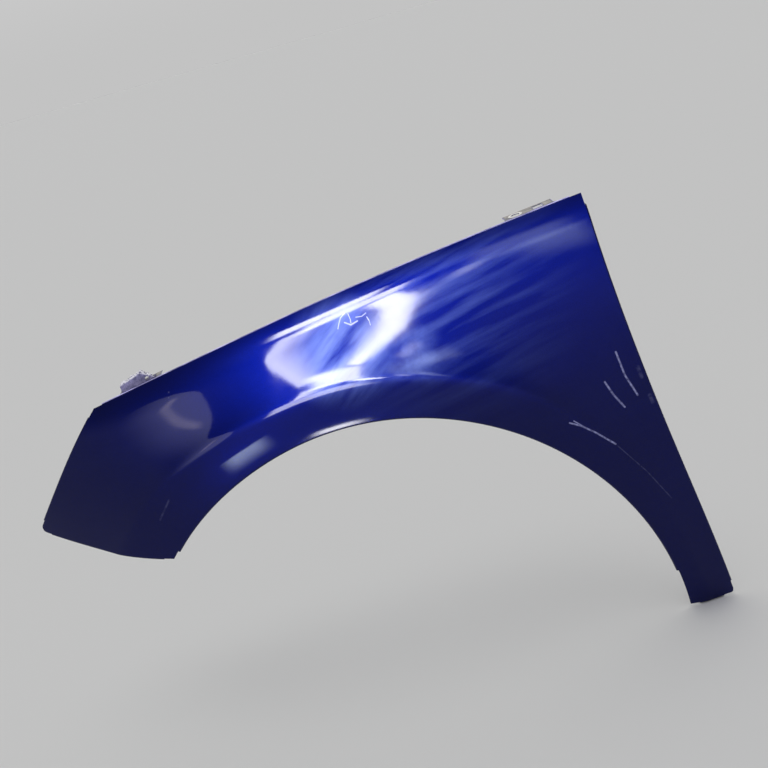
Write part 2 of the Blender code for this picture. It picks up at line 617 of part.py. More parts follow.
def bracket_height(share):
    """Height of the bracket's riser along its width: it climbs to a peak and drops to the rear."""
    return np.interp(share, [0, BRACKET_PEAK_SHARE, 1],
                     [BRACKET_HEIGHT_LEFT, BRACKET_HEIGHT_PEAK, BRACKET_HEIGHT_RIGHT])


def build_bracket(collection, cutters, root):
    """The headlamp bracket: foot spot welded on the front hood tab, riser, and lip folded inboard."""
    share = np.linspace(0, 1, BRACKET_COLUMNS + 1)
    reach = BRACKET_START_REACH + BRACKET_WIDTH * share
    base = float(hood_edge_depth(BRACKET_START_REACH + BRACKET_WIDTH / 2)) + BRACKET_INSET
    level = flange_level(reach) + SEAT_GAP
    lip_depth = np.interp(share, [0, BRACKET_PEAK_SHARE, 1],
                          [BRACKET_LIP_DEPTH, BRACKET_LIP_DEPTH, BRACKET_LIP_END_DEPTH])
    top = level + bracket_height(share)
    rows = [
        np.stack([reach, np.full_like(reach, base + BRACKET_FOOT_DEPTH), level], axis=1),
        np.stack([reach, np.full_like(reach, base), level], axis=1),
        np.stack([reach, np.full_like(reach, base), top], axis=1),
        np.stack([reach, base + lip_depth, top], axis=1),
    ]
    grid = np.stack(rows, axis=1)
    index = np.arange(grid.shape[0] * grid.shape[1]).reshape(grid.shape[:2])
    bracket = sheet_mesh(grid.reshape(-1, 3), strip_faces(index), "headlamp_bracket")
    collection.objects.link(bracket)
    bracket.parent = root
    fold_weight = bracket.data.attributes.new("bevel_weight_edge", "FLOAT", "EDGE")
    fold_rows_of_index = {1, 2}
    for edge in bracket.data.edges:
        ends = [vertex % 4 for vertex in edge.vertices]
        fold_weight.data[edge.index].value = float(ends[0] == ends[1] and ends[0] in fold_rows_of_index)
    fold = bracket.modifiers.new("folds", "BEVEL")
    fold.limit_method = "WEIGHT"
    fold.width = BRACKET_FOLD_RADIUS
    fold.segments = FOLD_STEPS
    thickness = bracket.modifiers.new("sheet", "SOLIDIFY")
    thickness.thickness = BRACKET_THICKNESS
    thickness.offset = -1
    thickness.use_even_offset = True
    hole_reach = BRACKET_START_REACH + BRACKET_WIDTH * BRACKET_HOLE_SHARE
    hole_height = float(flange_level(hole_reach)) + float(bracket_height(BRACKET_HOLE_SHARE)) / 2
    body = drill("bracket_hole", (hole_reach, base, hole_height), (0, 1, 0), BRACKET_HOLE_RADIUS,
                 cutters, root)
    cut = bracket.modifiers.new("hole", "BOOLEAN")
    cut.operation = "DIFFERENCE"
    cut.solver = "EXACT"
    cut.object = body
    bracket.data.materials.append(principled("bracket_overspray", OVERSPRAY_GREY, OVERSPRAY_FINISH))
    bracket.data.shade_smooth()
    bracket.data.set_sharp_from_angle(angle=SHARP_ANGLE)
    return bracket


def main():
    """Clear the scene, build the two pieces and set the rear bolt pad down at the origin."""
    for thing in list(bpy.data.objects):
        bpy.data.objects.remove(thing, do_unlink=True)
    scene = bpy.context.scene
    collection = bpy.data.collections.new(COLLECTION_NAME)
    cutters = bpy.data.collections.new(CUTTER_COLLECTION_NAME)
    scene.collection.children.link(collection)
    scene.collection.children.link(cutters)
    pad_reach = (REAR_BOLT_REACH + SQUARE_HOLE_REACH) / 2
    pad = (pad_reach, float(hood_edge_depth(pad_reach)) + HOLE_INSET, float(flange_level(pad_reach)))
    root = bpy.data.objects.new("arch_centre", None)
    root.location = (-pad[0], -pad[1], -pad[2])
    collection.objects.link(root)
    build_panel(collection, cutters, root)
    build_bracket(collection, cutters, root)
    bpy.context.view_layer.update()


main()
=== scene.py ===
# Looks for a car's left front fender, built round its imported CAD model: X rearward, Y inboard, Z up.
import math

import bmesh
import bpy
import numpy as np
from mathutils import Matrix, Vector


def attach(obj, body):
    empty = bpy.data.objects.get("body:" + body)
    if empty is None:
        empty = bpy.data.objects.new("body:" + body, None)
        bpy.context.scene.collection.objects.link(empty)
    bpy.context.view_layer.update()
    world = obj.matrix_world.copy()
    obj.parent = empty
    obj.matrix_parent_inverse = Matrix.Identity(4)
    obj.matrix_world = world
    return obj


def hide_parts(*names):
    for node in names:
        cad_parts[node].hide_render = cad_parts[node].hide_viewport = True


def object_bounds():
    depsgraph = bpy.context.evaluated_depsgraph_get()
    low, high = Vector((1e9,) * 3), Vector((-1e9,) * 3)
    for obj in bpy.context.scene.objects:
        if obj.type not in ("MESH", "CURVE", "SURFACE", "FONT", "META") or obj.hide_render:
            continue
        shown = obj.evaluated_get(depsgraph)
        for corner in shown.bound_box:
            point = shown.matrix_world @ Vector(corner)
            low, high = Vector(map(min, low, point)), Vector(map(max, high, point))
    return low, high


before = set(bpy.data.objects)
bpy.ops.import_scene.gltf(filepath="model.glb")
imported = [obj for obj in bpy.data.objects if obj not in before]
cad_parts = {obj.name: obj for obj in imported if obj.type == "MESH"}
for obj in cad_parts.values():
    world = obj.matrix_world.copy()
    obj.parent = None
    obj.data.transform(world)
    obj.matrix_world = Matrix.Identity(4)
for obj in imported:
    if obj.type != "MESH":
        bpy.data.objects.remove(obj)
cad_low, cad_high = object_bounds()

# ---------------------------------------------------------------------------------------------
# Fender panel: one pressing of 0.8 mm drawn steel. The skin carries a flare round the wheel arch,
# and its edges are turned inboard as flanges: a hood flange trimmed to three bolt tabs, lamp, bumper
# and door flanges, and a foot tab. It hangs on bolts through the hood flange, door tab and foot.
# ---------------------------------------------------------------------------------------------
SHEET = 0.0008
ARCH_HALF_WIDTH = 0.3525
ARCH_HALF_HEIGHT = 0.396
ARCH_TILT = math.radians(10.0)
FRONT_ANGLE, LAMP_ANGLE, DOOR_ANGLE, FOOT_ANGLE = (math.radians(a) for a in (125.6, 112.0, 52.0, -6.0))
FLARE_FRONT = (math.radians(88.0), math.radians(122.0))
FLARE_FOOT = (math.radians(55.0), math.radians(2.0))
FINENESS = 4
FOLD_STEPS = 7
RIGHT_ANGLE = math.pi / 2
FOLD_RADIUS, ARCH_FOLD_RADIUS, HOOD_FOLD = 0.002, 0.003, math.radians(118.0)
ARCH_FLANGE, LAMP_FLANGE, DOOR_FLANGE, BUMPER_FLANGE, FOOT_FLANGE = 0.013, 0.011, 0.012, 0.016, 0.022
HOOD_FLANGE, HOOD_WALL_SLOPE, KEPT_STRIP, TRIM_REACH = 0.036, math.radians(30.0), 0.013, 0.040
DOOR_TAB_BOLT, DOOR_TAB = 0.019, 0.026
CORNER_GAP = 0.012
BOLT_INSET = 0.0255
BOLT_RADIUS, SQUARE_HALF, SMALL_BOLT_RADIUS = 0.0048, 0.00575, 0.0032


def smooth_share(value, start, end):
    """0 before start, 1 after end, and 3t^2 - 2t^3 between them."""
    share = np.clip((value - start) / (end - start), 0, 1)
    return share * share * (3 - 2 * share)


def unit(vectors):
    """Vectors over their lengths."""
    return vectors / np.linalg.norm(vectors, axis=-1, keepdims=True)


def arch_point(angle):
    """Side view point of the tilted arch ellipse: half axes times cosine and sine, then turned."""
    along, upward = ARCH_HALF_WIDTH * np.cos(angle), ARCH_HALF_HEIGHT * np.sin(angle)
    return np.stack([along * math.cos(ARCH_TILT) - upward * math.sin(ARCH_TILT),
                     along * math.sin(ARCH_TILT) + upward * math.cos(ARCH_TILT)], axis=-1)


def arch_distance_and_angle(reach, height):
    """Distance outside the arch along the ray from its centre, and the ellipse's eccentric angle."""
    along = reach * math.cos(ARCH_TILT) + height * math.sin(ARCH_TILT)
    upward = height * math.cos(ARCH_TILT) - reach * math.sin(ARCH_TILT)
    scale = np.hypot(along / ARCH_HALF_WIDTH, upward / ARCH_HALF_HEIGHT)
    return np.hypot(along, upward) * (1 - 1 / scale), np.arctan2(upward / ARCH_HALF_HEIGHT,
                                                                 along / ARCH_HALF_WIDTH)


BUMPER_CORNER = arch_point(FRONT_ANGLE) + (-0.1615, 0.0590)
LAMP_CORNER = arch_point(LAMP_ANGLE) + (-0.0987, 0.1448)
DOOR_CORNER = arch_point(DOOR_ANGLE) + (0.1680, 0.2285)
FOOT_CORNER = arch_point(FOOT_ANGLE) + (0.0591, 0.0004)
REAR_TAB = (DOOR_CORNER[0] - 0.0905, DOOR_CORNER[0] - 0.0290)
MID_TAB = (REAR_TAB[0] - 0.2570, REAR_TAB[0] - 0.1440)
FRONT_TAB = (LAMP_CORNER[0] + 0.0325, LAMP_CORNER[0] + 0.0885)
REAR_BOLT, SQUARE_HOLE, MID_BOLT = REAR_TAB[0] + 0.0145, REAR_TAB[0] + 0.0425, MID_TAB[0] + 0.0745
DOOR_TAB_MIDDLE = DOOR_CORNER[1] - 0.0735


def bowed_edge(start, end, bows, share):
    """Cubic from start to end: each handle stands a third in from its end, off the chord by its bow."""
    chord = end - start
    normal = unit(np.array([-chord[1], chord[0]]))
    share = np.asarray(share)[..., None]
    near_start = start + chord / 3 + normal * bows[0]
    near_end = start + chord * 2 / 3 + normal * bows[1]
    return ((1 - share) ** 3 * start + 3 * (1 - share) ** 2 * share * near_start
            + 3 * (1 - share) * share ** 2 * near_end + share ** 3 * end)


HOOD_EDGE = (LAMP_CORNER, DOOR_CORNER, (0.0187, 0.0104))
DOOR_EDGE = (DOOR_CORNER, FOOT_CORNER, (-0.0252, -0.0035))
LAMP_EDGE = (BUMPER_CORNER, LAMP_CORNER, (0.002, 0.005))


def hood_height(reach):
    """Height of the hood edge at a distance along the car, read off its cubic."""
    line = bowed_edge(*HOOD_EDGE, np.linspace(0, 1, 400))
    return np.interp(reach, line[:, 0], line[:, 1])


# The crease's distance from the arch, then how much it gains in front and loses at the foot
CREASE, CREASE_GAIN_FRONT, CREASE_LOSS_FOOT = 0.050, 0.012, 0.024
# Where the skin's bends start. A bend is the square of the way past its start over the depth it gives.
WAIST, NOSE, SHOULDER = 0.339, -0.074, 0.034
TUCK_BEND, CROWN_BEND, NOSE_BEND, SHOULDER_BEND = 9.0, 1.40, 1.50, 0.24
# The flare's depth and run, with what they lose in front and at the foot
FLARE_DEPTH, FLARE_LOSS_FRONT, FLARE_LOSS_FOOT = 0.014, 0.004, 0.011
FLARE_RUN, FLARE_RUN_LOSS_FOOT = 0.034, 0.018
CREASE_SOFTNESS, LIP_TUCK = 0.0028, 0.003


def crease_offset(angle):
    """Crease's distance from the arch, blending from the crown's to the front's and the foot's."""
    return (CREASE + CREASE_GAIN_FRONT * smooth_share(angle, *FLARE_FRONT)
            - CREASE_LOSS_FOOT * smooth_share(angle, *FLARE_FOOT))


def skin_depth(reach, height):
    """Inboard depth: parabolic tuck, crown, nose and shoulder roll, plus the flare's fall past its crease."""
    tuck = np.clip(WAIST - height, 0, None) ** 2 / TUCK_BEND
    crown = np.clip(height - WAIST, 0, None) ** 2 / CROWN_BEND
    nose = np.clip(NOSE - reach, 0, None) ** 2 / NOSE_BEND
    shoulder = np.clip(SHOULDER - (hood_height(reach) - height), 0, None) ** 2 / SHOULDER_BEND
    distance, angle = arch_distance_and_angle(reach, height)
    front, foot = smooth_share(angle, *FLARE_FRONT), smooth_share(angle, *FLARE_FOOT)
    offset = crease_offset(angle)
    past = CREASE_SOFTNESS * np.logaddexp(0, (distance - offset) / CREASE_SOFTNESS)
    flare = ((FLARE_DEPTH - FLARE_LOSS_FRONT * front - FLARE_LOSS_FOOT * foot)
             * (1 - np.exp(-past / (FLARE_RUN - FLARE_RUN_LOSS_FOOT * foot))))
    lip = LIP_TUCK * np.clip(1 - distance / offset, 0, 1) ** 2
    return tuck + crown + nose + shoulder + flare + lip


def column_shares(edge, axis, knots, counts):
    """Shares along an edge, even between knots, so that a column of points falls on each knot."""
    samples = np.linspace(0, 1, 400)
    line = bowed_edge(*edge, samples)[:, axis]
    rising = np.sign(line[-1] - line[0])
    number = np.concatenate([[0], np.cumsum(counts)]) * FINENESS
    return np.interp(np.arange(number[-1] + 1), number, np.interp(rising * knots, rising * line, samples))


tab_ends = [(a - 0.0015, b + 0.0015) for a, b in (FRONT_TAB, MID_TAB, REAR_TAB)]
hood_knots = np.array([LAMP_CORNER[0], *tab_ends[0], *tab_ends[1], tab_ends[2][0] - 0.025, *tab_ends[2],
                       DOOR_CORNER[0]])
hood_drops = np.array([0.003, 0.003, 0.003, 0.008, 0.008, 0.008, 0.0022, 0.0022, 0.003])
door_knots = np.array([DOOR_CORNER[1], DOOR_TAB_MIDDLE + 0.020, DOOR_TAB_MIDDLE - 0.020, FOOT_CORNER[1]])


def flange_level(reach):
    """Height of the hood flange: the hood edge less a drop at each knot, straight between knots."""
    return np.interp(reach, hood_knots, hood_height(hood_knots) - hood_drops)


def round_corner(points, corner, along_first, along_second, rounding):
    """Draws a square corner in to a round one: the square to disk map in the two edges' own axes."""
    basis = np.linalg.inv(np.stack([along_first, along_second], axis=1))
    near = np.clip(1 - (points - corner) @ basis.T / rounding, 0, 1)
    drawn = near * np.sqrt(1 - near[..., ::-1] ** 2 / 2)
    return points + ((near - drawn) * rounding) @ np.stack([along_first, along_second])


def skin_grid():
    """Outer skin, columns by rows: rays from arch to outer edge, one row set on the crease."""
    lamp_share = np.linspace(0, 1, 14 * FINENESS + 1)[:-1]
    hood_share = column_shares(HOOD_EDGE, 0, hood_knots, (2, 4, 12, 7, 7, 2, 4, 2))[:-1]
    door_share = column_shares(DOOR_EDGE, 1, door_knots, (4, 3, 19))
    angle = np.concatenate([FRONT_ANGLE + (LAMP_ANGLE - FRONT_ANGLE) * lamp_share,
                            LAMP_ANGLE + (DOOR_ANGLE - LAMP_ANGLE) * hood_share,
                            DOOR_ANGLE + (FOOT_ANGLE - DOOR_ANGLE) * door_share])
    outer = np.concatenate([bowed_edge(*LAMP_EDGE, lamp_share), bowed_edge(*HOOD_EDGE, hood_share),
                            bowed_edge(*DOOR_EDGE, door_share)])
    inner = arch_point(angle)
    ray = outer - inner
    length = np.linalg.norm(ray, axis=1)
    crease = crease_offset(angle) / length
    for _ in range(12):
        spot = inner + ray * crease[:, None]
        distance, spot_angle = arch_distance_and_angle(spot[:, 0], spot[:, 1])
        crease = crease + (crease_offset(spot_angle) - distance) / length
    below = np.linspace(0, 1, 6 * FINENESS + 1)[:-1] ** 0.8
    above = (1 - np.cos(math.pi * np.linspace(0, 1, 14 * FINENESS + 1) ** 1.15)) / 2
    crease = crease[:, None]
    share = np.concatenate([crease * below, crease + (1 - crease) * above], axis=1)
    side = inner[:, None] + ray[:, None] * share[..., None]
    chord = side[0, -1] - side[0, 0]
    bow = (side[0, 0] + chord * share[0][:, None]
           - bowed_edge(side[0, 0], side[0, -1], (-0.007, -0.007), share[0]))
    fade = np.clip(1 - np.arange(len(side)) / (len(side) * 0.16), 0, 1) ** 2
    side = side + bow * fade[:, None, None]
    far = 2 * FINENESS
    side = round_corner(side, side[0, -1], unit(side[far, -1] - side[0, -1]),
                        unit(side[0, -far] - side[0, -1]), 0.009)
    side = round_corner(side, side[-1, -1], unit(side[-far, -1] - side[-1, -1]),
                        unit(side[-1, 0] - side[-1, -1]), 0.005)
    depth = skin_depth(side[..., 0], side[..., 1])
    return np.stack([side[..., 0], depth, side[..., 1]], axis=-1)


def fold_rows(edge, inside, radius, turn, depths):
    """Rows that carry the sheet round an arc of the fold radius, then straight on to each depth."""
    along = unit(np.gradient(edge, axis=0))
    outward = edge - inside
    outward = unit(outward - along * np.sum(outward * along, axis=1, keepdims=True))
    inner = unit(np.array([0, 1, 0]) - outward * outward[:, 1:2])
    angles = turn * np.arange(1, FOLD_STEPS + 1) / FOLD_STEPS
    rows = [edge + radius * (outward * math.sin(a) + inner * (1 - math.cos(a))) for a in angles]
    run = outward * math.cos(turn) + inner * math.sin(turn)
    return np.stack(rows + [rows[-1] + run * depth for depth in depths], axis=1)


def square_flange(edge, inside, depth, radius=FOLD_RADIUS):
    """Rows of a flange turned square off an edge: round the fold, to half its depth and to all of it."""
    return fold_rows(edge, inside, radius, RIGHT_ANGLE, (depth / 2, depth))


def length_along(line):
    """Running length along a line of points: the sum of its steps."""
    return np.concatenate([[0], np.cumsum(np.linalg.norm(np.diff(line, axis=0), axis=1))])


skin = skin_grid()
columns, rows = skin.shape[:2]
lamp_end, door_start = 14 * FINENESS, 54 * FINENESS
points, faces = [skin.reshape(-1, 3)], []
hood_runs = [np.zeros(columns * rows)]
index = np.arange(columns * rows).reshape(columns, rows)


def strip_faces(grid):
    """Quads between the neighbours of an index grid, as columns by rows by four."""
    return np.stack([grid[:-1, :-1], grid[1:, :-1], grid[1:, 1:], grid[:-1, 1:]], axis=-1)


def add_flange(edge_index, new_rows, keep, hood=0.0):
    """Joins flange rows to an edge where keep says so. A hood flange's points keep their way along it."""
    first = sum(len(p) for p in points)
    new = first + np.arange(new_rows.shape[0] * new_rows.shape[1]).reshape(new_rows.shape[:2])
    edge_points = np.concatenate(points)[edge_index][:, None]
    steps = np.diff(np.concatenate([edge_points, new_rows], axis=1), axis=1)
    points.append(new_rows.reshape(-1, 3))
    hood_runs.append(np.cumsum(np.linalg.norm(steps, axis=2), axis=1).ravel() * hood)
    faces.append(strip_faces(np.concatenate([edge_index[:, None], new], axis=1))[keep].reshape(-1, 4))
    return new


def clear_of_corners(edge, start=CORNER_GAP, end=CORNER_GAP):
    """True for each step along an edge that lies at least so far from its two ends."""
    run = length_along(edge)
    return (run[:-1] >= start) & (run[-1] - run[1:] >= end)


faces.append(strip_faces(index).reshape(-1, 4))
arch_rows = square_flange(skin[:, 0], skin[:, 1], ARCH_FLANGE, ARCH_FOLD_RADIUS)
arch_angle = arch_distance_and_angle(skin[:, 0, 0], skin[:, 0, 2])[1]
arch_keep = clear_of_corners(skin[:, 0], end=0) & (arch_angle[1:] > math.radians(2.0))
add_flange(index[::-1, 0], arch_rows[::-1], arch_keep[::-1])
lamp = slice(0, lamp_end + 1)
add_flange(index[lamp, -1], square_flange(skin[lamp, -1], skin[lamp, -2], LAMP_FLANGE),
           clear_of_corners(skin[lamp, -1]))
hood = slice(lamp_end, door_start + 1)
hood_fold = fold_rows(skin[hood, -1], skin[hood, -2], FOLD_RADIUS, HOOD_FOLD, ())
last = hood_fold[:, -1]
level = flange_level(skin[hood, -1, 0])
fall = np.clip(last[:, 2] - level, 0, None)
wall_foot = last + np.stack([0 * fall, fall * math.tan(HOOD_WALL_SLOPE), level - last[:, 2]], axis=1)
flange_end = np.stack([wall_foot[:, 0], skin[hood, -1, 1] + HOOD_FLANGE, level], axis=1)
flat = [wall_foot + (flange_end - wall_foot) * share for share in (0, 0.25, 0.5, 0.75, 1)]
add_flange(index[hood, -1], np.concatenate([hood_fold, np.stack(flat, axis=1)], axis=1),
           clear_of_corners(skin[hood, -1]), hood=1.0)
door = slice(door_start, columns)
door_index = add_flange(index[door, -1], square_flange(skin[door, -1], skin[door, -2], DOOR_FLANGE),
                        clear_of_corners(skin[door, -1]))
door_tab_rows = fold_rows(skin[door, -1], skin[door, -2], FOLD_RADIUS, RIGHT_ANGLE, (DOOR_TAB_BOLT, DOOR_TAB))
quad = np.arange(26 * FINENESS)
add_flange(door_index[:, -1], door_tab_rows[:, -2:], (quad >= 4 * FINENESS) & (quad < 7 * FINENESS))
add_flange(index[0], square_flange(skin[0], skin[1], BUMPER_FLANGE), clear_of_corners(skin[0]))
add_flange(index[-1, ::-1], square_flange(skin[-1], skin[-2], FOOT_FLANGE)[::-1],
           clear_of_corners(skin[-1, ::-1]))


def hood_edge_depth(reach):
    """Inboard depth of the skin at the hood edge."""
    return skin_depth(np.asarray(reach), hood_height(reach))


# The middle of the rear bolt tab is the origin of the whole part
pad_reach = (REAR_BOLT + SQUARE_HOLE) / 2
PAD = np.array([pad_reach, float(hood_edge_depth(pad_reach)) + BOLT_INSET, float(flange_level(pad_reach))])


def surface(name, at, quads, **attributes):
    """A mesh object from points in the arch's frame and quads, with point attributes; loose points go."""
    mesh = bpy.data.meshes.new(name)
    used = np.unique(quads)
    renumber = np.zeros(len(at), int)
    renumber[used] = np.arange(len(used))
    mesh.from_pydata((at[used] - PAD).tolist(), [], renumber[quads].tolist())
    for key, values in attributes.items():
        layer = mesh.attributes.new(key, "FLOAT", "POINT")
        layer.data.foreach_set("value", values[used].astype(np.float32))
    thing = bpy.data.objects.new(name, mesh)
    bpy.context.scene.collection.objects.link(thing)
    return thing


def plug(outline, direction, length=0.008):
    """A cutting prism: a closed outline set back and forth along a direction, as points and faces."""
    half = unit(np.asarray(direction, float)) * length / 2
    outline = np.asarray(outline)
    count = len(outline)
    ring = np.arange(count)
    sides = [[i, (i + 1) % count, count + (i + 1) % count, count + i] for i in ring]
    ends = [ring[::-1].tolist(), (count + ring).tolist()]
    return np.concatenate([outline - half, outline + half]), ends + sides


def ring_outline(centre, direction, radius, slot=0.0, sides=48):
    """Circle of a radius round a centre, square to a direction, drawn out along Y into a slot."""
    direction = unit(np.asarray(direction, float))
    across = unit(np.cross([0, 1, 0], direction))
    upward = np.cross(direction, across)
    turn = np.linspace(0, 2 * math.pi, sides, endpoint=False)[:, None]
    drawn = np.sign(np.sin(turn)) * slot
    return np.asarray(centre) + across * radius * np.cos(turn) + upward * (radius * np.sin(turn) + drawn)


def trim_outline(start, end, corner=0.006):
    """Plan outline cut from the hood flange between two tabs: it keeps a strip and has round corners."""
    outer = float(max(hood_edge_depth(start), hood_edge_depth(end))) + TRIM_REACH
    middle = float((flange_level(start) + flange_level(end)) / 2)
    along = np.linspace(start + corner, end - corner, 17)
    inset = hood_edge_depth(along) + KEPT_STRIP
    turn = np.linspace(0, RIGHT_ANGLE, 9)[1:-1]
    first = np.stack([start + corner - corner * np.cos(turn),
                      inset[0] + corner - corner * np.sin(turn)], axis=1)
    second = np.stack([end - corner + corner * np.sin(turn),
                       inset[-1] + corner - corner * np.cos(turn)], axis=1)
    plan = np.concatenate([[(start, outer), (start, inset[0] + corner)], first,
                           np.stack([along, inset], axis=1), second,
                           [(end, inset[-1] + corner), (end, outer)]])
    return np.column_stack([plan, np.full(len(plan), middle)])


def edge_place(edge, inside, share):
    """A place at a share of an edge's length, with its outward and its inner direction."""
    run = length_along(edge)
    at = share * run[-1]
    place, within = (np.array([np.interp(at, run, line[:, k]) for k in range(3)]) for line in (edge, inside))
    nearest = int(np.clip(np.searchsorted(run, at), 1, len(run) - 1))
    along = unit(edge[nearest] - edge[nearest - 1])
    outward = unit(place - within - along * np.dot(place - within, along))
    return place, outward, unit(np.array([0, 1, 0]) - outward * outward[1])


upright = (0, 0, 1)
plugs = []
for start, end in ((LAMP_CORNER[0] - 0.004, FRONT_TAB[0]), (FRONT_TAB[1], MID_TAB[0]),
                   (MID_TAB[1], REAR_TAB[0]), (REAR_TAB[1], DOOR_CORNER[0] + 0.004)):
    rise = abs(float(flange_level(start) - flange_level(end)))
    plugs.append(plug(trim_outline(start, end), upright, rise + 0.008))

# Two bolt holes and a square one in the hood's tabs
bolt_holes = [np.array([x, float(hood_edge_depth(x)) + BOLT_INSET, float(flange_level(x))])
              for x in (REAR_BOLT, MID_BOLT, SQUARE_HOLE)]
for centre in bolt_holes[:2]:
    plugs.append(plug(ring_outline(centre, upright, BOLT_RADIUS), upright))
square = np.array([(-1, -1, 0), (1, -1, 0), (1, 1, 0), (-1, 1, 0)]) * SQUARE_HALF
plugs.append(plug(bolt_holes[2] + square, upright))

# Two small holes in the bumper flange, a slot in the foot tab and a hole in the door tab
for share in (0.30, 0.72):
    place, outward, inward = edge_place(skin[0], skin[1], share)
    centre = place + outward * FOLD_RADIUS + inward * 0.0115
    plugs.append(plug(ring_outline(centre, outward, SMALL_BOLT_RADIUS), outward))
place, outward, inward = edge_place(skin[-1], skin[-2], 0.5)
centre = place - np.array([0, 0, FOLD_RADIUS]) + inward * 0.0145
plugs.append(plug(ring_outline(centre, upright, SMALL_BOLT_RADIUS, slot=0.0033), upright))
edge = skin[door, -1]
run = length_along(edge)
tab_share = float(np.interp(-DOOR_TAB_MIDDLE, -edge[:, 2], run)) / run[-1]
place, outward, inward = edge_place(edge, skin[door, -2], tab_share)
centre = place + outward * FOLD_RADIUS + inward * DOOR_TAB_BOLT
plugs.append(plug(ring_outline(centre, outward, SMALL_BOLT_RADIUS), outward))


def pierced(thing, thickness, cutters, outside, inside, crosses_itself=False):
    """Gives a surface its sheet thickness inwards and a material on each side, cuts it with the plugs and
    keeps the result as its mesh."""
    for material in (outside, inside):
        thing.data.materials.append(material)
    solid = thing.modifiers.new("sheet", "SOLIDIFY")
    solid.thickness, solid.offset, solid.use_even_offset, solid.material_offset = thickness, -1, True, 1
    offsets = np.concatenate([[0], np.cumsum([len(p) for p, _ in cutters])])
    mesh = bpy.data.meshes.new("cutters")
    mesh.from_pydata((np.concatenate([p for p, _ in cutters]) - PAD).tolist(), [],
                     [[int(i + o) for i in f] for (_, fs), o in zip(cutters, offsets) for f in fs])
    bm = bmesh.new()
    bm.from_mesh(mesh)
    bmesh.ops.recalc_face_normals(bm, faces=bm.faces)
    bm.to_mesh(mesh)
    bm.free()
    body = bpy.data.objects.new("cutters", mesh)
    bpy.context.scene.collection.objects.link(body)
    cut = thing.modifiers.new("holes", "BOOLEAN")
    cut.operation, cut.solver, cut.object, cut.use_self = "DIFFERENCE", "EXACT", body, crosses_itself
    bpy.context.view_layer.update()
    done = bpy.data.meshes.new_from_object(thing.evaluated_get(bpy.context.evaluated_depsgraph_get()))
    thing.modifiers.clear()
    thing.data = done
    bpy.data.objects.remove(body)
    done.shade_smooth()
    done.set_sharp_from_angle(angle=math.radians(32.0))
    weighted = thing.modifiers.new("flat faces lead", "WEIGHTED_NORMAL")
    weighted.keep_sharp, weighted.weight = True, 60


panel = surface("fender_skin", np.concatenate(points), np.concatenate(faces),
                hood_run=np.concatenate(hood_runs))


def node_maker(tree):
    """A short way to add a node to a tree: its inputs are values or sockets to link, its settings options."""
    def node(kind, inputs=(), **settings):
        made = tree.nodes.new(kind)
        for key, value in settings.items():
            setattr(made, key, value)
        for key, value in dict(inputs).items():
            if isinstance(value, bpy.types.NodeSocket):
                tree.links.new(value, made.inputs[key])
            else:
                made.inputs[key].default_value = value
        return made

    return node


def new_material(name):
    """A node material with its Principled shader, the way to add nodes to it, and its tree."""
    material = bpy.data.materials.new(name)
    material.use_nodes = True
    tree = material.node_tree
    return material, tree.nodes["Principled BSDF"], node_maker(tree), tree


paint, shader, node, tree = new_material("blue_metallic_paint")
place = node("ShaderNodeTexCoord").outputs["Object"]
side = node("ShaderNodeVectorMath", {0: place, 1: (1, 0, 1)}, operation="MULTIPLY").outputs[0]


def attribute(name):
    """A point attribute's value."""
    return node("ShaderNodeAttribute", attribute_name=name).outputs["Fac"]


def stretch(value, low, high, to_low=0.0, to_high=1.0, smooth=False):
    """A value carried from one range to another and held at its ends."""
    kind = "SMOOTHSTEP" if smooth else "LINEAR"
    return node("ShaderNodeMapRange", {"Value": value, "From Min": low, "From Max": high, "To Min": to_low,
                                       "To Max": to_high}, interpolation_type=kind).outputs[0]


def blotches(scale, detail=3.0, rough=0.5, low=0.35, high=0.65, at=None):
    """A noise drawn out to run from 0 to 1 between its low and high values."""
    noise = node("ShaderNodeTexNoise", {"Vector": at or place, "Scale": scale, "Detail": detail,
                                        "Roughness": rough})
    return stretch(noise.outputs[0], low, high)


def brushed(angle, along, across, low, high, detail=4.0):
    """A noise drawn out into streaks that lie at an angle to the side view's level."""
    streaks = {"Vector": place, "Rotation": (0, -math.radians(angle), 0),
               "Scale": (1 / along, 0.05, 1 / across)}
    turned = node("ShaderNodeMapping", streaks, vector_type="TEXTURE").outputs[0]
    return blotches(1.0, detail, 0.55, low, high, turned)


def joined(operation, *values):
    """Values joined one after another by one operation."""
    total = values[0]
    for value in values[1:]:
        total = node("ShaderNodeMath", {0: total, 1: value}, operation=operation).outputs[0]
    return total


def colours(share, first, second):
    """A mix of two colours by a share."""
    mix = node("ShaderNodeMix", {0: share}, data_type="RGBA")
    for key, value in ((6, first), (7, second)):
        if isinstance(value, tuple):
            mix.inputs[key].default_value = value
        else:
            tree.links.new(value, mix.inputs[key])
    return mix.outputs[2]


def near_spot(centre, inner, outer):
    """1 within the inner distance of a side view point and 0 past the outer one."""
    away = node("ShaderNodeVectorMath", {0: side, 1: (centre[0], 0, centre[1])}, operation="DISTANCE")
    return stretch(away.outputs["Value"], outer, inner, smooth=True)


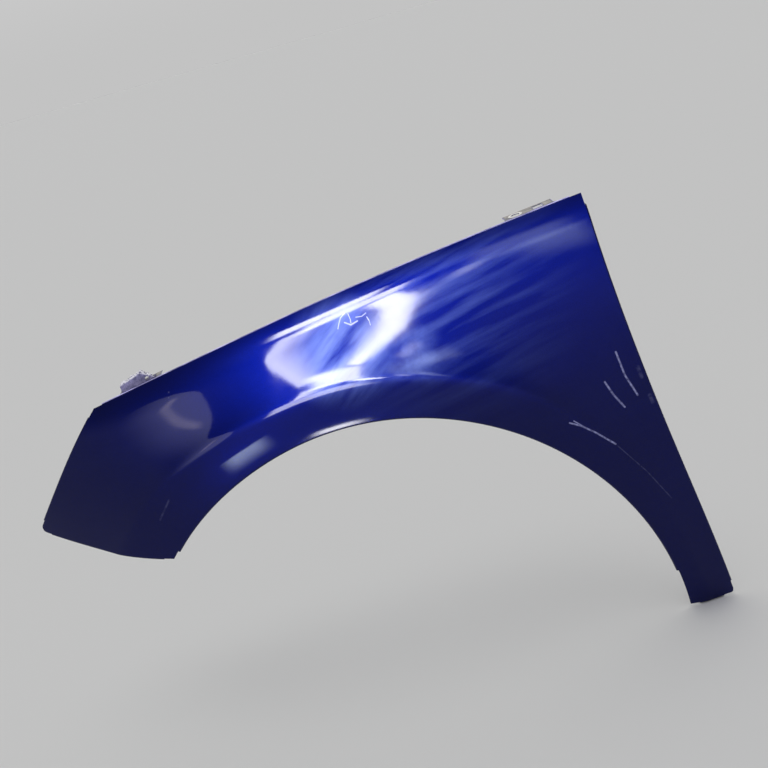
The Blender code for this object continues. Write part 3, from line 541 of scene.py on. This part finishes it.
def near_line(line, width):
    """1 along a line of side view points, falling to 0 at half its width on both sides."""
    marks = []
    for (x0, z0), (x1, z1) in zip(line[:-1], line[1:]):
        run = (x1 - x0, 0, z1 - z0)
        step = node("ShaderNodeVectorMath", {0: side, 1: (x0, 0, z0)}, operation="SUBTRACT").outputs[0]
        along = node("ShaderNodeVectorMath", {0: step, 1: run}, operation="DOT_PRODUCT").outputs["Value"]
        share = node("ShaderNodeMath", {0: along, 1: 1 / (run[0] ** 2 + run[2] ** 2)}, operation="MULTIPLY",
                     use_clamp=True).outputs[0]
        foot = node("ShaderNodeVectorMath", {0: run, "Scale": share}, operation="SCALE").outputs[0]
        away = node("ShaderNodeVectorMath", {0: step, 1: foot}, operation="DISTANCE").outputs["Value"]
        marks.append(stretch(away, width / 2, width / 5))
    return joined("MAXIMUM", *marks)


# Scratches near the middle bolt tab, rubs by the door edge and along the crease, and faint marks: each
# is a line of side view points and its width
DEEP = (([(-0.2514, -0.0612), (-0.2488, -0.0562), (-0.2452, -0.0505), (-0.2395, -0.0468)], 0.0016),
        ([(-0.2355, -0.0484), (-0.2346, -0.0553), (-0.2351, -0.0590)], 0.0012),
        ([(-0.2420, -0.0566), (-0.2358, -0.0609), (-0.2274, -0.0588)], 0.0022),
        ([(-0.2278, -0.0543), (-0.2210, -0.0552), (-0.2154, -0.0529)], 0.0013))
RUBS = (([(-0.2156, -0.0572), (-0.2141, -0.0623), (-0.2141, -0.0671)], 0.0012),
        ([(0.0547, -0.1767), (0.0593, -0.2071), (0.0696, -0.2361)], 0.0030),
        ([(0.0342, -0.2085), (0.0414, -0.2274), (0.0513, -0.2461)], 0.0030),
        ([(-0.0185, -0.2429), (-0.0053, -0.2510), (0.0105, -0.2655), (0.0304, -0.2870)], 0.0028),
        ([(-0.0133, -0.2418), (-0.0041, -0.2514)], 0.0018))
FAINT = (([(0.0304, -0.2870), (0.0471, -0.3130), (0.0612, -0.3345), (0.0855, -0.3811)], 0.0018),
         ([(-0.5019, -0.2035), (-0.5218, -0.2272)], 0.0030),
         ([(-0.2789, -0.1083), (-0.2743, -0.1128)], 0.0060),
         ([(0.0763, -0.2019), (0.0785, -0.2154)], 0.0060),
         ([(0.0836, -0.2403), (0.0855, -0.2501)], 0.0060))
deep = joined("MAXIMUM", *[near_line(line, width) for line, width in DEEP])
specks = joined("MAXIMUM", near_spot((-0.4620, -0.0804), 0.0003, 0.0012),
                near_spot((-0.4638, -0.0863), 0.0002, 0.0009))
deep = joined("MULTIPLY", joined("MAXIMUM", deep, joined("MULTIPLY", specks, 0.4)), 0.7)
rubs = joined("MAXIMUM", *[near_line(line, width) for line, width in RUBS])
rubs = joined("MULTIPLY", rubs, blotches(260, 2, 0.6, 0.15, 0.60), 0.30)
faint = joined("MAXIMUM", *[near_line(line, width) for line, width in FAINT])
faint = joined("MULTIPLY", faint, blotches(180, 2, 0.6, 0.34, 0.60), 0.05)
scratch = joined("MAXIMUM", joined("MULTIPLY", deep, 0.24), rubs, faint)

# Polishing haze over the shoulder, partly a painted sheen where the shoulder reflects the light, a pale patch
# of painted sheen beside it, and thin dust everywhere
haze_and_sheen = joined("MULTIPLY", near_spot((-0.252, -0.088), 0.015, 0.075), brushed(36, 9, 55, 0.27, 0.66))
haze_and_sheen = joined("MAXIMUM", haze_and_sheen, joined("MULTIPLY", near_spot((-0.13, -0.045), 0.02, 0.20),
                                      brushed(12, 6, 60, 0.42, 0.72), 0.30))
pale_sheen = joined("MULTIPLY", near_spot((-0.175, -0.112), 0.01, 0.045), blotches(34, 3, 0.6, 0.35, 0.6))
film = joined("MULTIPLY", brushed(10, 5, 40, 0.42, 0.72), blotches(7, 3, 0.55, 0.38, 0.66))
dust_and_sheen = joined("ADD", joined("MULTIPLY", haze_and_sheen, 0.17), joined("MULTIPLY", pale_sheen, 0.05),
              joined("MULTIPLY", film, 0.004))

# Thin colour past the hood fold: the primer shows through on the bolt tabs, and bolts left bright rings
FLAKE_DARK, FLAKE_LIGHT = (0.0002, 0.0014, 0.047, 1), (0.0003, 0.0026, 0.076, 1)
# The haze blue is polishing haze with painted sheen; the fold's pale violet is rubbed paint with a painted
# highlight
HAZE_AND_SHEEN_BLUE, SCRATCH_PALE, FOLD_WEAR_AND_GLINT = (0.17, 0.30, 0.95, 1), (0.56, 0.58, 0.98, 1), (0.52, 0.48, 0.90, 1)
PRIMER_DARK, PRIMER_LIGHT, RING_STEEL = (0.20, 0.19, 0.17, 1), (0.33, 0.31, 0.275, 1), (0.72, 0.71, 0.67, 1)
hood_run = attribute("hood_run")
bare = stretch(joined("ADD", hood_run, joined("MULTIPLY", blotches(60), 0.010)), 0.014, 0.034, 0.0, 0.9)
blue = colours(blotches(1400, 1.0, 0.5, 0.30, 0.70), FLAKE_DARK, FLAKE_LIGHT)
# Pale blue over the shoulder: polishing haze and dust, partly a painted sheen of reflected light
blue = colours(dust_and_sheen, blue, HAZE_AND_SHEEN_BLUE)
blue = colours(bare, blue, colours(blotches(70, 4), PRIMER_DARK, PRIMER_LIGHT))
plan = node("ShaderNodeVectorMath", {0: place, 1: (1, 1, 0)}, operation="MULTIPLY").outputs[0]
rings = []
for hole in bolt_holes[:2]:
    middle = (hole[0] - PAD[0], hole[1] - PAD[1], 0)
    away = node("ShaderNodeVectorMath", {0: plan, 1: middle}, operation="DISTANCE").outputs["Value"]
    away = joined("ADD", away, joined("MULTIPLY", blotches(150), 0.0012))
    rings.append(joined("MULTIPLY", stretch(away, 0.0093, 0.0086), stretch(away, 0.0050, 0.0056)))
ring = joined("MULTIPLY", joined("MAXIMUM", *rings), stretch(hood_run, 0.004, 0.006))
blue = colours(joined("MULTIPLY", ring, 0.85), blue, RING_STEEL)
# A pale violet line along the hood fold: partly rubbed paint, partly a painted highlight of the fold's bend
rubbed_and_glint = joined("MULTIPLY", stretch(hood_run, 0.0002, 0.0012), stretch(hood_run, 0.0050, 0.0035),
                stretch(blotches(45), 0.0, 1.0, 0.35, 0.8))
blue = colours(rubbed_and_glint, blue, FOLD_WEAR_AND_GLINT)
cover = joined("MAXIMUM", scratch, bare, rubbed_and_glint)
hidden_flake = joined("MAXIMUM", cover, joined("MULTIPLY", dust_and_sheen, 3.0))
roughness = joined("ADD", 0.34, joined("MULTIPLY", blotches(9), 0.05), joined("MULTIPLY", bare, 0.45))
coat_roughness = joined("ADD", 0.03, joined("MULTIPLY", blotches(16, 4), 0.03),
                        joined("MULTIPLY", film, 0.05), joined("MULTIPLY", haze_and_sheen, 0.06))
shader.inputs["Coat IOR"].default_value = 1.28
for socket, value in (("Base Color", colours(scratch, blue, SCRATCH_PALE)), ("Roughness", roughness),
                      ("Metallic", joined("SUBTRACT", 1.0, hidden_flake)),
                      ("Coat Weight", joined("SUBTRACT", 1.0, cover)), ("Coat Roughness", coat_roughness)):
    tree.links.new(value, shader.inputs[socket])
peel = node("ShaderNodeTexNoise", {"Vector": place, "Scale": 210.0, "Detail": 1.0})
scored = joined("SUBTRACT", joined("MULTIPLY", peel.outputs[0], 0.12), scratch)
bump = node("ShaderNodeBump", {"Height": scored, "Strength": 0.25, "Distance": 0.0002})
tree.links.new(bump.outputs[0], shader.inputs["Normal"])
tree.links.new(bump.outputs[0], shader.inputs["Coat Normal"])

# The inner side: dark electrocoat with a mist of blue, road dirt over the wheel and runs of wax
inner_paint, shader, node, tree = new_material("inner_electrocoat")
place = node("ShaderNodeTexCoord").outputs["Object"]
side = node("ShaderNodeVectorMath", {0: place, 1: (1, 0, 1)}, operation="MULTIPLY").outputs[0]
ARCH_CENTRE = (-0.2655, -0.5653)
COAT_DARK, COAT_LIGHT = (0.075, 0.077, 0.082, 1), (0.12, 0.122, 0.125, 1)
MIST_BLUE, ROAD_DIRT, WAX = (0.010, 0.020, 0.19, 1), (0.25, 0.215, 0.17, 1), (0.22, 0.18, 0.12, 1)
mist = joined("MULTIPLY", blotches(5, 5, 0.6, 0.36, 0.62), 0.85)
splash = joined("MULTIPLY", near_spot(ARCH_CENTRE, 0.40, 0.56), blotches(22, 6, 0.65, 0.42, 0.60))
runs_of_wax = joined("MULTIPLY", brushed(88, 3, 90, 0.60, 0.68), blotches(9, 2))
coat = colours(mist, colours(blotches(40, 5, 0.6), COAT_DARK, COAT_LIGHT), MIST_BLUE)
coat = colours(joined("MULTIPLY", splash, 0.75), coat, ROAD_DIRT)
coat = colours(joined("MULTIPLY", runs_of_wax, 0.5), coat, WAX)
roughness = joined("ADD", 0.42, joined("MULTIPLY", splash, 0.4), joined("MULTIPLY", blotches(30), 0.12))
grain = joined("ADD", joined("MULTIPLY", blotches(420, 2), 0.3), splash)
bump = node("ShaderNodeBump", {"Height": grain, "Strength": 0.3, "Distance": 0.0004}).outputs[0]
for socket, value in (("Base Color", coat), ("Roughness", roughness), ("Normal", bump)):
    tree.links.new(value, shader.inputs[socket])
pierced(panel, SHEET, plugs, paint, inner_paint)
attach(panel, "root")
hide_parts("fender_panel")

# ---------------------------------------------------------------------------------------------
# Headlamp bracket: a small tab of steel about 1 mm thick, folded twice and spot welded on the front
# bolt tab. Its lip has been knocked about, and it wears grey primer with a mist of the body colour.
# ---------------------------------------------------------------------------------------------
BRACKET_START, BRACKET_WIDTH, BRACKET_SHEET = FRONT_TAB[0] + 0.0065, 0.042, 0.0009
PEAK_SHARES, RISER_HEIGHTS, LIP_WIDTHS = (0, 0.66, 1), (0.0125, 0.0155, 0.0040), (0.013, 0.013, 0.003)
BRACKET_INSET, BRACKET_FOOT = 0.0100, 0.017
HOLE_SHARE, HOLE_RADIUS = 0.80, 0.0024
# The pale on the bracket's rim is partly chipped paint, partly a painted highlight
TONE_DARK, TONE_LIGHT, CHIPPED_AND_GLINT = (0.040, 0.038, 0.095, 1), (0.11, 0.10, 0.19, 1), (0.62, 0.61, 0.66, 1)


def folded_profile(corners, counts):
    """Rows along a bent strip: straight runs between corners, each corner a quadratic curve that starts
    and ends 2.6 mm from it, or 0.42 of the riser's height where that is less."""
    riser = np.linalg.norm(corners[2] - corners[1], axis=1, keepdims=True)
    fold_reach = np.minimum(0.0026, 0.42 * riser)
    rows = [corners[0]]
    for before, corner, after, count in zip(corners[:-2], corners[1:-1], corners[2:], counts):
        start = corner + unit(before - corner) * fold_reach
        end = corner + unit(after - corner) * fold_reach
        rows += [rows[-1] + (start - rows[-1]) * share for share in np.linspace(0, 1, count + 1)[1:]]
        rows += [(1 - t) ** 2 * start + 2 * t * (1 - t) * corner + t * t * end
                 for t in np.linspace(0, 1, FOLD_STEPS)[1:]]
    rows += [rows[-1] + (corners[-1] - rows[-1]) * share for share in np.linspace(0, 1, counts[-1] + 1)[1:]]
    return np.stack(rows, axis=1)


share = np.linspace(0, 1, 85)
reach = BRACKET_START + BRACKET_WIDTH * share
seat = float(hood_edge_depth(BRACKET_START + BRACKET_WIDTH / 2)) + BRACKET_INSET
level = flange_level(reach) + 0.0001
riser_top = level + np.interp(share, PEAK_SHARES, RISER_HEIGHTS)
lip = seat + np.interp(share, PEAK_SHARES, LIP_WIDTHS)
dents = 0.0007 * np.sin(share * 23.0) + 0.0005 * np.sin(share * 61.0 + 1.0) + 0.0004 * np.sin(share * 113.0)
flat = np.full_like(reach, seat)
strip = folded_profile([np.stack([reach, flat + BRACKET_FOOT, level], axis=1),
                        np.stack([reach, flat, level], axis=1),
                        np.stack([reach, flat + dents * 0.5, riser_top], axis=1),
                        np.stack([reach, lip + dents, riser_top + dents - 0.0006], axis=1)], (8, 10, 12))
strip_index = np.arange(strip.shape[0] * strip.shape[1]).reshape(strip.shape[:2])
along_strip = np.broadcast_to(np.linspace(0, 1, strip.shape[1]), strip.shape[:2])
bracket = surface("headlamp_tab", strip.reshape(-1, 3), strip_faces(strip_index).reshape(-1, 4),
                  fold_share=along_strip.ravel())
overspray, shader, node, tree = new_material("primer_with_overspray")
place = node("ShaderNodeTexCoord").outputs["Object"]
mottle = blotches(160, 5, 0.62, 0.36, 0.64)
# Pale along the riser's top and lip: partly chipped primer, partly a painted highlight of the rim
chipped_and_glint = joined("MULTIPLY", stretch(attribute("fold_share"), 0.60, 0.70), blotches(230, 3, 0.6, 0.40, 0.52))
tone = colours(chipped_and_glint, colours(mottle, TONE_DARK, TONE_LIGHT), CHIPPED_AND_GLINT)
roughness = joined("ADD", 0.60, joined("MULTIPLY", mottle, 0.25))
bump = node("ShaderNodeBump", {"Height": blotches(320, 3), "Strength": 0.4, "Distance": 0.0003}).outputs[0]
for socket, value in (("Base Color", tone), ("Roughness", roughness),
                      ("Metallic", joined("MULTIPLY", chipped_and_glint, 0.5)), ("Normal", bump)):
    tree.links.new(value, shader.inputs[socket])
hole = np.array([BRACKET_START + BRACKET_WIDTH * HOLE_SHARE, seat, 0])
hole[2] = float(flange_level(hole[0])) + float(np.interp(HOLE_SHARE, PEAK_SHARES, RISER_HEIGHTS)) / 2
hole_plug = plug(ring_outline(hole, (0, 1, 0.001), HOLE_RADIUS), (0, 1, 0))
pierced(bracket, BRACKET_SHEET, [hole_plug], overspray, overspray, crosses_itself=True)
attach(bracket, "root")
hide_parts("headlamp_bracket")

# ---------------------------------------------------------------------------------------------
# Stage: a wide, plain, pale floor under the foot of the fender, a dim room whose walls meet the floor
# at its own brightness, soft boxes that light the fender alone, and the camera.
# ---------------------------------------------------------------------------------------------
FLOOR_HALF, FLOOR_GAP, FLOOR_COLOUR = 40, 0.001, (0.72, 0.72, 0.71, 1)
HORIZON, CEILING = (0.545, 0.545, 0.545, 1), (1.7, 1.7, 1.7, 1)
FRONT_WALL, REAR_WALL = (0.20, 0.205, 0.22, 1), (0.78, 0.78, 0.79, 1)
HORIZON_TOP, CEILING_START, CEILING_FULL = 0.34, 0.84, 0.93
FRONT_END, REAR_START = -0.35, 0.45
PANEL_MIDDLE = Vector((-0.20, -0.05, -0.10))
LOW_LAMP_PLANE = -0.60
DAYLIGHT, ROSE = (0.72, 0.84, 1.0), (1.0, 0.86, 0.86)

floor_mesh = bpy.data.meshes.new("floor")
floor_mesh.from_pydata([(x * FLOOR_HALF, y * FLOOR_HALF, cad_low[2] - FLOOR_GAP)
                        for x, y in ((-1, -1), (1, -1), (1, 1), (-1, 1))], [], [(0, 1, 2, 3)])
floor = bpy.data.objects.new("floor", floor_mesh)
bpy.context.scene.collection.objects.link(floor)
floor_material, shader, node, tree = new_material("pale_floor")
shader.inputs["Base Color"].default_value = FLOOR_COLOUR
shader.inputs["Roughness"].default_value = 0.9
shader.inputs["Specular IOR Level"].default_value = 0.1
floor_mesh.materials.append(floor_material)

world = bpy.data.worlds.new("studio")
bpy.context.scene.world = world
world.use_nodes = True
tree = world.node_tree
node = node_maker(tree)
heading = node("ShaderNodeSeparateXYZ", {0: node("ShaderNodeTexCoord").outputs["Generated"]}).outputs
walls = colours(stretch(heading[1], FRONT_END, REAR_START, smooth=True), FRONT_WALL, REAR_WALL)
room = colours(stretch(heading[2], 0.0, HORIZON_TOP, smooth=True), HORIZON, walls)
room = colours(stretch(heading[2], CEILING_START, CEILING_FULL, smooth=True), room, CEILING)
tree.links.new(room, tree.nodes["Background"].inputs["Color"])

lit = bpy.data.collections.new("lit_by_soft_boxes")
for piece in (panel, bracket):
    lit.objects.link(piece)


def place_lamp(name, size, radiance, fades, spot, back, turn, shape="RECTANGLE"):
    """An area lamp at a spot, its face against the back direction and turned about it. Its brightness
    falls smoothly to nothing over a share of its size at the left, right, bottom and top. It lights the
    fender alone, so the floor stays even."""
    light = bpy.data.lights.new(name, "AREA")
    light.shape, light.size, light.size_y = shape, *size
    area = light.size * light.size_y * (math.pi / 4 if shape == "ELLIPSE" else 1)
    light.energy = radiance * math.pi * area
    light.use_nodes = True
    lamp_tree = light.node_tree
    lamp_node = node_maker(lamp_tree)
    face_place = lamp_node("ShaderNodeNewGeometry").outputs["Parametric"]
    across = lamp_node("ShaderNodeSeparateXYZ", {0: face_place}).outputs
    strength = 1.0
    for axis, rim, fade in ((0, 0, fades[0]), (0, 1, fades[1]), (1, 0, fades[2]), (1, 1, fades[3])):
        if fade:
            full = 1 - fade if rim else fade
            rise = lamp_node("ShaderNodeMapRange", {"Value": across[axis], "From Min": rim, "From Max": full},
                             interpolation_type="SMOOTHSTEP").outputs[0]
            strength = lamp_node("ShaderNodeMath", {0: strength, 1: rise}, operation="MULTIPLY").outputs[0]
    lamp_tree.links.new(strength, lamp_tree.nodes["Emission"].inputs["Strength"])
    thing = bpy.data.objects.new(name, light)
    thing.location = spot
    facing = back.to_track_quat("Z", "Y").to_matrix() @ Matrix.Rotation(math.radians(turn), 3, "Z")
    thing.rotation_euler = facing.to_euler()
    thing.visible_camera = False
    thing.light_linking.receiver_collection = lit
    bpy.context.scene.collection.objects.link(thing)
    return light


def soft_box(name, azimuths, elevations, radiance, fades, turn=0.0, distance=8.0, shape="RECTANGLE"):
    """A lamp that fills the sky between two azimuths and two elevations, seen from the panel's middle."""
    azimuth, elevation = (math.radians(sum(pair) / 2) for pair in (azimuths, elevations))
    width, height = (2 * distance * math.tan(math.radians((b - a) / 2)) for a, b in (azimuths, elevations))
    back = Vector((math.sin(azimuth) * math.cos(elevation), -math.cos(azimuth) * math.cos(elevation),
                   math.sin(elevation)))
    return place_lamp(name, (width * math.cos(elevation), height), radiance, fades,
                      PANEL_MIDDLE + back * distance, back, turn, shape)


def low_lamp(name, middle, size, turn, radiance, fades):
    """A small upright lamp low in front of the arch, with its middle given in X and Z."""
    return place_lamp(name, size, radiance, fades, (middle[0], LOW_LAMP_PLANE, middle[1]),
                      Vector((0, -1, 0)), turn)


soft_box("left_panel", (-9.5, -3.6), (16.5, 30.3), 44, (0.05, 0.9, 0.05, 0.1))
soft_box("right_panel", (0.6, 3.6), (13.8, 27.2), 66, (0.3, 0.12, 0.08, 0.1), 13.0)
soft_box("right_panel_head", (-8.5, 3.0), (26.4, 31.8), 54, (0.3, 0.15, 0.3, 0.05))
soft_box("top_rail", (-12, 0.5), (31.3, 36.3), 58, (0.15, 0.15, 0.35, 0.1))
soft_box("low_rail", (-13.5, 1.2), (0, 15.5), 25, (0.2, 0.2, 0.2, 0.1))
soft_box("rear_glow", (6.2, 14), (17, 37), 5.4, (0.3, 0.3, 0.25, 0.3)).color = DAYLIGHT
soft_box("rear_end_glow", (9.6, 14.5), (13, 27), 5.0, (0.4, 0.3, 0.3, 0.4)).color = DAYLIGHT
soft_box("rear_spot", (6.0, 8.6), (15.5, 24), 10, (0.35, 0.35, 0.3, 0.3))
soft_box("front_disc", (-47.5, -24), (-7, 17), 2.8, (0.75, 0.0, 0.35, 0.0), distance=5.0, shape="ELLIPSE")
soft_box("front_core", (-35.0, -31.6), (4, 15), 4.0, (0.4, 0.4, 0.3, 0.3), -18.0).color = ROSE
soft_box("ceiling_strip", (-25, 25), (66, 72), 18, (0.1, 0.1, 0.2, 0.2))
low_lamp("low_left", (-0.525, -0.382), (0.22, 0.125), 22, 16, (0.35, 0.35, 0.85, 0.08)).color = DAYLIGHT
low_lamp("low_middle", (-0.310, -0.424), (0.09, 0.055), 0, 56, (0.3, 0.5, 0.4, 0.3))

# Camera at the photograph's viewing angle, rolled as it is there
EYE = Vector((-0.2178, -1.2022, 0.2772))
LOOK_DOWN, ROLL = math.radians(20.0), math.radians(16.0)
camera = bpy.data.cameras.new("camera")
camera.lens = 48.6
camera.sensor_width = 36
eye = bpy.data.objects.new("camera", camera)
forward = Vector((0, math.cos(LOOK_DOWN), -math.sin(LOOK_DOWN)))
level_up = Vector((0, math.sin(LOOK_DOWN), math.cos(LOOK_DOWN)))
right = Vector((1, 0, 0)) * math.cos(ROLL) - level_up * math.sin(ROLL)
up = Vector((1, 0, 0)) * math.sin(ROLL) + level_up * math.cos(ROLL)
turned = Matrix((right, up, -forward)).transposed().to_4x4()
turned.translation = EYE
eye.matrix_world = turned
bpy.context.scene.collection.objects.link(eye)
bpy.context.scene.camera = eye
bpy.context.scene.view_settings.view_transform = "Standard"
